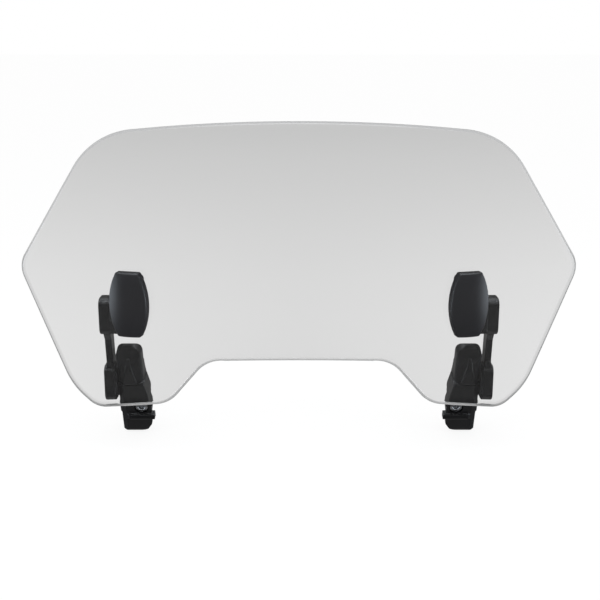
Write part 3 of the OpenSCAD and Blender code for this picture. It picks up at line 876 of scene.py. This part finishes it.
def build_jaw():
    side = rounded([
        (8.2, 8.4, 0.4), (12.6, 8.4, 1.6), (12.6, -9, 3), (11, -12, 2), (11, -23, 1.6),
        (PLATE_Y + 3.6, -25.5, 2), (JAW_TIP_Y, TIP_Z, 2.2), (PLATE_Y, TIP_Z, 0.4),
        (PLATE_Y, -23.4, 0), (PLATE_Y + 0.8, -12, 1), (8.2, -9.4, 1.5)], 6)
    front = inboard(rounded([
        (0.4, 28, 0), (EAR_W + 0.4, 28, 0), (EAR_W + 0.4, 4, 8), (JAW_W - 2, -20, 8),
        (JAW_W - 2.2, TIP_Z + 6.5, 3), (JAW_W - 4.8, TIP_Z + 2, 2), (JAW_W - 9.6, TIP_Z, 2.5),
        (0.4, TIP_Z, 1.4)], 8))
    knuckle0, knuckle1 = EAR_T + 0.2, EAR_W - EAR_T - 0.2
    body = common(prism(side, -FACE_D - 2, -FACE_D + JAW_W + 2, "x"),
                  prism(front, -2, 17, "y"))
    parts = [body, rod(FACE_D - knuckle0, FACE_D - knuckle1, 4, PIN_Y, PIN_Z),
             prism([(8.2, 4), (12.4, 4), (12.4, PIN_Z), (8.2, PIN_Z)],
                   -FACE_D + knuckle0, -FACE_D + knuckle1, "x")]
    ob = moulded(parts, voxel=0.28, rounds=3)
    # two shallow flutes down the back of the lever
    for w in (3.4, 11.4):
        flute = rounded([(w, -7, 0.9), (w + 2.2, -7, 0.9), (w + 2.2, 6, 0.9), (w, 6, 0.9)], 5)
        carve(ob, prism(inboard(flute), 12.0, 15, "y"))
    carve(ob, rod(FACE_D + 1, 90, PIN_R + 0.05, PIN_Y, PIN_Z),
          peg(0, 20, 3.0, SCREW_X, SCREW_Z),
          hex_bar(7, 20, 4.05, "y", (SCREW_X, 0, SCREW_Z)))
    return seat(ob, CLAMP, "left_jaw_moulding")


def build_pad(front):
    """A rubber pad with cross grooves in its gripping face."""
    outline = inboard(rounded([
        (1.2, TIP_Z + 0.8, 1.2), (JAW_W - 10.2, TIP_Z + 0.8, 2.5), (JAW_W - 5.2, TIP_Z + 2.9, 2),
        (JAW_W - 3, TIP_Z + 6.8, 2), (JAW_W - 3, -24.8, 1.2), (1.2, -24.8, 1.2)], 6))
    y0 = -PLATE_Y if front else MOUTH / 2
    ob = prism(outline, y0, y0 + PAD_T, "y", 0.25, 2)
    face, out = (y0 + PAD_T, 1) if front else (y0, -1)
    floor_y = face - out * 0.45
    cuts = []
    z = TIP_Z + 2.2
    while z < -26:
        groove = [(floor_y, z - 0.05), (face, z - 0.45), (face + out, z - 0.45),
                  (face + out, z + 0.45), (face, z + 0.45), (floor_y, z + 0.05)]
        cuts.append(prism(groove, -FACE_D - 1, -FACE_D + JAW_W, "x"))
        z += 1.7
    name = "left_front_pad_ribbed" if front else "left_jaw_pad_ribbed"
    return seat(carve(ob, fused(cuts)), CLAMP, name, 30)


def build_clamp_screw():
    """M5 x 18 socket cap screw with a knurled head."""
    socket = hexagon(2.0)
    grip = knurl(4.25, 0.13, 72)
    rings = [(0, -2.4), (socket, -2.4), (socket, -4.8), (lambda t: socket(t) + 0.2, -5.0),
             (3.7, -5.0), (3.98, -4.88), (4.1, -4.65), (grip, -4.45), (grip, -0.4),
             (4.05, -0.2), (3.9, 0.0), (2.45, 0.0), (2.45, 0.6)]
    rings += thread(radius=2.5, depth=0.42, pitch=0.8, start=0.7, end=17.2)
    rings += [(2.0, 17.8), (0, 18.0)]
    ob = spin(rings, 72, axis="y", at=(SCREW_X, SCREW_SEAT_Y, SCREW_Z))
    return seat(ob, CLAMP, "left_clamp_screw_turned", 30)


def build_jaw_nut():
    nut = moved(hex_nut(4.0, 2.8, 4.0, "y"), SCREW_X, 7.0, SCREW_Z)
    return seat(nut, CLAMP, "left_jaw_nut_turned", 25)


def build_screw_washer():
    washer = moved(ring_washer(2.65, 4.3, 0.8, "y"), SCREW_X, SCREW_SEAT_Y, SCREW_Z)
    return seat(washer, CLAMP, "left_clamp_screw_washer", 30)


def build_pin():
    # each end is rounded: how far in from the radius, how far in from the end
    end = [(0.5, 0.02), (0.15, 0.2), (0, 0.5)]
    rings = [(0, -FACE_D)] + [(PIN_R - d, -FACE_D + h) for d, h in end]
    rings += [(PIN_R - d, -FACE_D + EAR_W - h) for d, h in reversed(end)]
    rings += [(0, -FACE_D + EAR_W)]
    return seat(spin(rings, 32, axis="x", at=(0, PIN_Y, PIN_Z)), CLAMP, "left_jaw_pin", 30)


# ------------------------------------------------------------------ shader tools
def add(tree, kind, inputs=None, **settings):
    """A shader node; each input is given a value or linked to another node's socket."""
    node = tree.nodes.new("ShaderNode" + kind)
    for name, value in settings.items():
        setattr(node, name, value)
    for key, value in (inputs or {}).items():
        if isinstance(value, bpy.types.NodeSocket):
            tree.links.new(value, node.inputs[key])
        else:
            node.inputs[key].default_value = value
    return node


def calc(tree, operation, a, b=0.0, clamp=False):
    return add(tree, "Math", {0: a, 1: b}, operation=operation, use_clamp=clamp).outputs[0]


def map_range(tree, value, from_min, from_max, to_min=0.0, to_max=1.0, kind="LINEAR"):
    inputs = {"Value": value, "From Min": from_min, "From Max": from_max,
              "To Min": to_min, "To Max": to_max}
    return add(tree, "MapRange", inputs, interpolation_type=kind).outputs["Result"]


def step(tree, value, low, high):
    return map_range(tree, value, low, high, kind="SMOOTHSTEP")


def noise(tree, coords, scale, detail):
    inputs = {"Vector": coords, "Scale": scale, "Detail": detail}
    return add(tree, "TexNoise", inputs).outputs["Fac"]


def bump(tree, height, strength, distance):
    inputs = {"Height": height, "Strength": strength, "Distance": distance}
    return add(tree, "Bump", inputs).outputs[0]


def mix_color(tree, factor, a, b):
    return add(tree, "Mix", {0: factor, 6: a, 7: b}, data_type="RGBA").outputs[2]


def mix_shader(tree, factor, a, b):
    return add(tree, "MixShader", {0: factor, 1: a, 2: b}).outputs[0]


def ramp(tree, factor, stops):
    """A colour ramp from (position, colour) stops in rising order."""
    node = add(tree, "ValToRGB", {0: factor})
    elements = node.color_ramp.elements
    for i, (position, color) in enumerate(stops):
        element = elements[i] if i < 2 else elements.new(position)
        element.position = position
        element.color = color
    return node.outputs[0]


def grey(value):
    return (value, value, value, 1)


def object_coords(tree):
    return add(tree, "TexCoord").outputs["Object"]


def new_material(name):
    material = bpy.data.materials.new(name)
    material.use_nodes = True
    material.node_tree.nodes.clear()
    return material, material.node_tree


# ------------------------------------------------------------------ materials
ACRYLIC_IOR = 1.49


def solid_material(name, color, rough, grain, grain_scale, grain_strength, metallic=0.0,
                   rough_var=0.08, tone_var=0.12, specular=0.5, wear=0.0, wear_color=None,
                   dust=0.0):
    """An opaque surface with uneven tone and gloss and a fine grain of the given depth (m).
    wear lightens the convex edges, dust the faces that look up."""
    material, tree = new_material(name)
    coords = object_coords(tree)
    patches = noise(tree, coords, scale=60.0, detail=5)
    base = mix_color(tree, patches, (*[c * (1 - tone_var) for c in color], 1),
                     (*[c * (1 + tone_var) + 0.002 for c in color], 1))
    gloss = map_range(tree, patches, 0.3, 0.7, rough - rough_var, rough + rough_var)
    if wear > 0:
        pointiness = add(tree, "NewGeometry").outputs["Pointiness"]
        edges = map_range(tree, pointiness, 0.53, 0.62)
        broken = calc(tree, "MULTIPLY", edges, noise(tree, coords, scale=350, detail=4))
        base = mix_color(tree, calc(tree, "MULTIPLY", broken, wear), base, (*wear_color, 1))
    if dust > 0:
        normal = add(tree, "NewGeometry").outputs["Normal"]
        height = add(tree, "SeparateXYZ", {0: normal}).outputs["Z"]
        specks = calc(tree, "MULTIPLY", calc(tree, "MAXIMUM", height, 0.0),
                      noise(tree, coords, scale=900, detail=6))
        base = mix_color(tree, calc(tree, "MULTIPLY", specks, dust), base, (0.3, 0.29, 0.27, 1))
    fine = noise(tree, coords, scale=grain_scale, detail=3)
    surface = add(tree, "BsdfPrincipled", {
        "Base Color": base, "Roughness": gloss, "Metallic": metallic, "IOR": 1.5,
        "Specular IOR Level": specular, "Normal": bump(tree, fine, grain_strength, grain)})
    add(tree, "OutputMaterial", {0: surface.outputs[0]})
    return material


def low_sides_shade_mask(tree, position):
    """1 towards the two sides below the widest point, 0 elsewhere: the mask for painted shade."""
    outward = step(tree, calc(tree, "ABSOLUTE", position.outputs["X"]), 0.104, 0.122)
    height = step(tree, position.outputs["Z"], (8 + SHIFT.z) / 1000, (34 + SHIFT.z) / 1000)
    return calc(tree, "MULTIPLY", outward, calc(tree, "SUBTRACT", 1.0, height))


# share of light through the sheet by fit-frame height (mm); its fall towards the top is painted
# shade
SHARE_BY_HEIGHT = [(-75.0, 0.640), (-12.4, 0.640), (12.4, 0.634), (36.6, 0.612), (60.4, 0.584),
        (83.7, 0.554), (100.9, 0.522)]
SHARE_RAMP_LOW, SHARE_RAMP_HIGH = 0.028, 0.212      # row heights at the two ends of the ramp


def clear_material():
    """Clear cast acrylic, 4 mm: a neutral grey share of light through it, with painted shade that
    deepens it towards the top.
    """
    material, tree = new_material("clear_acrylic")
    coords = object_coords(tree)
    position = add(tree, "SeparateXYZ", {0: coords})
    span = SHARE_RAMP_HIGH - SHARE_RAMP_LOW
    height = calc(tree, "DIVIDE",
                  calc(tree, "SUBTRACT", position.outputs["Z"], SHARE_RAMP_LOW), span)
    # painted shade: the share of light through falls towards the top
    share_with_painted_shade = ramp(tree, height, [(((z + SHIFT.z) / 1000 - SHARE_RAMP_LOW) / span, grey(share))
                               for z, share in SHARE_BY_HEIGHT])
    # painted light: a little lighter towards the two sides, low down
    across = calc(tree, "ABSOLUTE", calc(tree, "DIVIDE", position.outputs["X"], 0.14))
    down = calc(tree, "SUBTRACT", 1.0, height, clamp=True)
    side = calc(tree, "MULTIPLY", calc(tree, "POWER", across, 1.2),
                calc(tree, "MULTIPLY", down, 0.065))
    total = calc(tree, "ADD", calc(tree, "ADD", share_with_painted_shade, side), 0.034)
    # painted shade: the face is darkened near the outline, low at the two sides, where the sheet
    # turns away
    edge_mm = add(tree, "Attribute", attribute_name="edge_mm").outputs["Fac"]
    near = calc(tree, "SUBTRACT", 1.0, step(tree, edge_mm, 1.8, 4.0))
    edge = calc(tree, "MULTIPLY", near, low_sides_shade_mask(tree, position))
    kept_after_painted_shade = calc(tree, "SUBTRACT", 1.0, calc(tree, "MULTIPLY", edge, 0.17))
    total = calc(tree, "MULTIPLY", total, kept_after_painted_shade)
    # light crosses two faces: 0.92 passes their gloss, and each passes the square root of the
    # rest
    per_face = calc(tree, "POWER", calc(tree, "DIVIDE", total, 0.92), 0.5)
    color = add(tree, "CombineColor", {
        i: calc(tree, "MULTIPLY", per_face, share) for i, share in enumerate((1.0, 1.0, 0.999))})
    through = add(tree, "BsdfRefraction", {
        "Color": color.outputs[0], "IOR": ACRYLIC_IOR, "Roughness": 0.0})
    # very faint polishing haze on the faces
    haze = map_range(tree, noise(tree, coords, scale=26, detail=3), 0.0, 1.0, 0.015, 0.06)
    gloss = add(tree, "BsdfGlossy", {"Roughness": haze})
    fresnel = add(tree, "Fresnel", {"IOR": ACRYLIC_IOR})
    seen = mix_shader(tree, fresnel.outputs[0], through.outputs[0], gloss.outputs[0])
    # shadow and diffuse rays pass straight through
    path = add(tree, "LightPath")
    stray = calc(tree, "MAXIMUM", path.outputs["Is Shadow Ray"], path.outputs["Is Diffuse Ray"])
    clear = add(tree, "BsdfTransparent", {"Color": grey(0.9)})
    add(tree, "OutputMaterial", {0: mix_shader(tree, stray, seen, clear.outputs[0])})
    return material


def rim_material():
    """The sheet's ground and rounded edge: frosted, with painted shade where it turns from the
    eye.
    """
    material, tree = new_material("ground_edge")
    coords = object_coords(tree)
    facing = add(tree, "LayerWeight", {"Blend": 0.5}).outputs["Facing"]
    # painted shade: less light through the edge where it turns from the eye
    share_with_painted_shade = ramp(tree, facing, [(0.05, grey(0.76)), (0.13, grey(0.30))])
    rough = bump(tree, noise(tree, coords, scale=1400, detail=4), strength=0.4, distance=0.0001)
    diffuse = add(tree, "BsdfDiffuse", {"Color": grey(0.86), "Normal": rough})
    glow = add(tree, "BsdfTranslucent", {"Color": grey(0.86)})
    frosted = mix_shader(tree, 0.5, diffuse.outputs[0], glow.outputs[0])
    through = add(tree, "BsdfRefraction", {
        "Color": share_with_painted_shade, "IOR": ACRYLIC_IOR, "Roughness": 0.15})
    edge = mix_shader(tree, 0.5, frosted, through.outputs[0])
    # painted shade: darker low down at the two sides
    low = low_sides_shade_mask(tree, add(tree, "SeparateXYZ", {0: coords}))
    dark = add(tree, "BsdfDiffuse", {"Color": grey(0)})
    surface = mix_shader(tree, calc(tree, "MULTIPLY", low, 0.25), edge, dark.outputs[0])
    add(tree, "OutputMaterial", {0: surface})
    return material


PLASTIC = dict(grain=0.00012, grain_scale=2600, wear_color=(0.05, 0.05, 0.06), dust=0.02)
METAL = dict(metallic=1.0, grain=0.00006, grain_scale=1500, grain_strength=0.3)
MATERIALS = {
    "clear_acrylic": clear_material(),
    "black_plastic": solid_material(
        "satin_black_plastic", color=(0.0032, 0.0033, 0.0040), rough=0.33, grain_strength=0.08,
        wear=0.35, specular=0.42, rough_var=0.05, **PLASTIC),
    # the covers are the black plastic with colour painted lighter, as painted light on the covers
    "covers_lit_plastic": solid_material(
        "grained_cover_plastic", color=(0.0135, 0.0135, 0.0155), rough=0.37,
        grain_strength=0.12, wear=0.3, specular=0.44, rough_var=0.03, tone_var=0.05, **PLASTIC),
    "black_rubber": solid_material(
        "black_rubber", color=(0.007, 0.007, 0.008), rough=0.78, grain=0.0002,
        grain_scale=1800, grain_strength=0.4, specular=0.25, dust=0.05),
    "zinc_steel": solid_material(
        "zinc_plated_steel", color=(0.50, 0.51, 0.53), rough=0.30, wear=0.2,
        wear_color=(0.85, 0.85, 0.86), **METAL),
    "spring_steel": solid_material(
        "spring_steel", color=(0.30, 0.28, 0.26), rough=0.38, **METAL),
    "brass": solid_material("brass", color=(0.72, 0.52, 0.22), rough=0.32, **METAL),
    "nylon": solid_material(
        "black_nylon", color=(0.006, 0.006, 0.007), rough=0.5, grain=0.0001,
        grain_scale=1600, grain_strength=0.2, tone_var=0.05),
}
SLOTS = {part["node"]: part["material_slot"] for part in frame["record"]["subparts"]}


# ------------------------------------------------------------------ the pieces
replaced = set()


def put(ob, body, node, slot):
    ob.data.materials.clear()
    # covers take the copy of the black plastic painted lighter as painted light
    ob.data.materials.append(MATERIALS["covers_lit_plastic" if node.endswith("_cover") else slot])
    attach(ob, body)
    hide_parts(node)
    replaced.add(node)


sheet = build_sheet()
put(sheet, "screen", "screen", "clear_acrylic")
sheet.data.materials.append(rim_material())
for polygon in sheet.data.polygons:
    # the rounded edge and the hole walls turn away from the two rolled faces
    centre = polygon.center * 1000 - SHIFT
    radial = Vector((centre.x, centre.y - SHEET_R, 0)).normalized()
    if abs(polygon.normal.dot(radial)) < 0.955:
        polygon.material_index = 1

# left piece, body it rides on, node it stands for; {} is the side
PIECES = [
    (build_cover(), "screen", "{}_cover"),
    (build_cover_gasket(), "screen", "{}_cover_gasket"),
    (build_back_gasket(), "screen", "{}_back_gasket"),
    (build_bracket(), "screen", "{}_bracket"),
    (build_cover_screws(), "screen", "cover_screws"),
    (build_inserts(), "screen", "cover_inserts"),
    (build_bolt(UPPER, "left_upper_bolt"), "screen", "upper_pivot_bolts"),
    (build_washer(UPPER, "left_upper_washer"), "screen", "upper_pivot_washers"),
    (build_nut(UPPER, "left_upper_nut", UPPER_NUT_D), "screen", "upper_pivot_nuts"),
    (build_arm(), "{}_arm", "{}_arm"),
    (build_rings(), "{}_arm", "{}_friction_rings"),
    (build_clamp(), "clamps", "{}_clamp"),
    (build_bolt(LOWER, "left_lower_bolt"), "clamps", "lower_pivot_bolts"),
    (build_washer(LOWER, "left_lower_washer"), "clamps", "lower_pivot_washers"),
    (build_nut(CLAMP @ NUT_TURN, "left_lower_nut", LOWER_NUT_D), "clamps", "lower_pivot_nuts"),
    (build_pin(), "clamps", "jaw_pins"),
    (build_pad(front=True), "clamps", "{}_front_pad"),
    (build_screw_washer(), "clamps", "clamp_screw_washers"),
    (build_clamp_screw(), "{}_clamp_screw", "{}_clamp_screw"),
    (build_jaw(), "{}_jaw", "{}_jaw"),
    (build_pad(front=False), "{}_jaw", "{}_jaw_pad"),
    (build_jaw_nut(), "{}_jaw", "{}_jaw_nut"),
]
for left, body, node in PIECES:
    right = mirrored(left, left.name.replace("left_", "right_"))
    for side, ob in (("left", left), ("right", right)):
        side_node = node.format(side)
        put(ob, body.format(side), side_node, SLOTS[side_node])

# a node that no piece stands for keeps its own shape with a detailed material
for name, ob in frame["nodes"].items():
    if name not in replaced:
        ob.data.materials.clear()
        ob.data.materials.append(MATERIALS[SLOTS[name]])

# ------------------------------------------------------------------ camera
CAMERA_TILT = radians(14.5)
CAMERA_DISTANCE = 0.6
camera_data = bpy.data.cameras.new("camera")
camera = link_object("camera", camera_data)
camera.location = to_row((0, 0, 0)) + Vector((0, -CAMERA_DISTANCE * cos(CAMERA_TILT),
                                              CAMERA_DISTANCE * sin(CAMERA_TILT)))
camera.rotation_euler = (pi / 2 - CAMERA_TILT, 0, 0)
camera_data.lens = 60.0
camera_data.sensor_width = 36.0
camera_data.shift_x = 0.002
camera_data.clip_start = 0.01
camera_data.clip_end = 50
scene.camera = camera

scene.view_settings.view_transform = "Standard"
scene.view_settings.look = "None"
scene.view_settings.exposure = 0
scene.view_settings.gamma = 1

# ------------------------------------------------------------------ world
SIDE_BOX, TOP_BOX = 3.4, 2.2    # strengths of the soft boxes that gloss picks up
# brightness of the room by the height of the direction, between floor and zenith
ROOM = [(-0.93, 0.35), (-0.81, 0.08), (-0.45, 0.10), (-0.27, 0.36), (0.0, 0.12), (0.32, 0.12),
        (0.6, 0.6)]


def background(tree, color, strength):
    return add(tree, "Background", {"Color": color, "Strength": strength}).outputs[0]


def build_world():
    """White to the eye; to gloss a dim room with a soft box at each side and one overhead."""
    world = bpy.data.worlds.new("studio")
    scene.world = world
    world.use_nodes = True
    tree = world.node_tree
    tree.nodes.clear()
    direction = add(tree, "SeparateXYZ", {0: add(tree, "TexCoord").outputs["Generated"]})
    x, z = direction.outputs["X"], direction.outputs["Z"]
    room = ramp(tree, map_range(tree, z, -1, 1),
                [(0.0, grey(0.9))] + [((height + 1) / 2, grey(value)) for height, value in ROOM]
                + [(1.0, (0.88, 0.94, 1.0, 1))])
    overhead = calc(tree, "MULTIPLY", step(tree, z, 0.66, 0.9), TOP_BOX)
    gloss = background(tree, room, calc(tree, "ADD", 1.0, overhead))
    # a tall soft box far out at each side, low down
    off_level = calc(tree, "ABSOLUTE", calc(tree, "ADD", z, 0.10))
    box = calc(tree, "MULTIPLY", step(tree, calc(tree, "ABSOLUTE", x), 0.84, 0.99),
               step(tree, calc(tree, "SUBTRACT", 1.0, off_level), 0.52, 1.0))
    sides = background(tree, (0.82, 0.91, 1.0, 1), calc(tree, "MULTIPLY", box, SIDE_BOX))
    reflected = add(tree, "AddShader", {0: gloss, 1: sides}).outputs[0]
    path = add(tree, "LightPath")
    seen = mix_shader(tree, calc(tree, "MINIMUM", path.outputs["Glossy Depth"], 1.0),
                      background(tree, grey(1), 1.0), reflected)
    surface = mix_shader(tree, path.outputs["Is Diffuse Ray"], seen,
                         background(tree, grey(1), 0.8))
    add(tree, "OutputWorld", {0: surface})


build_world()


# ------------------------------------------------------------------ lights
def area_light(name, location, aim, size, power, color, glossy):
    light = bpy.data.lights.new(name, "AREA")
    light.shape = "RECTANGLE"
    light.size, light.size_y = size
    light.energy = power
    light.color = color
    ob = link_object(name, light)
    ob.location = location
    ob.rotation_euler = (Vector(aim) - Vector(location)).to_track_quat("-Z", "Y").to_euler()
    ob.visible_camera = False
    ob.visible_glossy = glossy


for name, side in (("key_left", -1), ("key_right", 1)):
    area_light(name, location=(1.15 * side, -0.52, 0.22), aim=(0.1 * side, 0, 0.1),
               size=(0.28, 0.55), power=3.0, color=(0.90, 0.95, 1.0), glossy=False)
area_light("top", location=(0, -0.6, 1.1), aim=(0, 0, 0.05), size=(0.9, 0.7), power=4,
           color=(0.92, 0.96, 1.0), glossy=True)


# ------------------------------------------------------------------ floor
def floor_material():
    """Pale and softly glowing; rays that come off gloss pass through."""
    material, tree = new_material("floor_pale")
    diffuse = add(tree, "BsdfDiffuse", {"Color": grey(0.13)})
    glow = add(tree, "Emission", {"Strength": 0.88})
    pale = add(tree, "AddShader", {0: diffuse.outputs[0], 1: glow.outputs[0]})
    depth = add(tree, "LightPath").outputs["Glossy Depth"]
    surface = mix_shader(tree, calc(tree, "MINIMUM", depth, 1.0), pale.outputs[0],
                         add(tree, "BsdfTransparent").outputs[0])
    add(tree, "OutputMaterial", {0: surface})
    return material


def build_floor():
    """A plain sheet just under the clamp tips."""
    half, z = 20, -0.0004
    mesh = bpy.data.meshes.new("floor")
    mesh.from_pydata([(-half, -half, z), (half, -half, z), (half, half, z), (-half, half, z)],
                     [], [(0, 1, 2, 3)])
    floor = link_object("floor", mesh)
    mesh.materials.append(floor_material())
    floor.visible_glossy = False


build_floor()
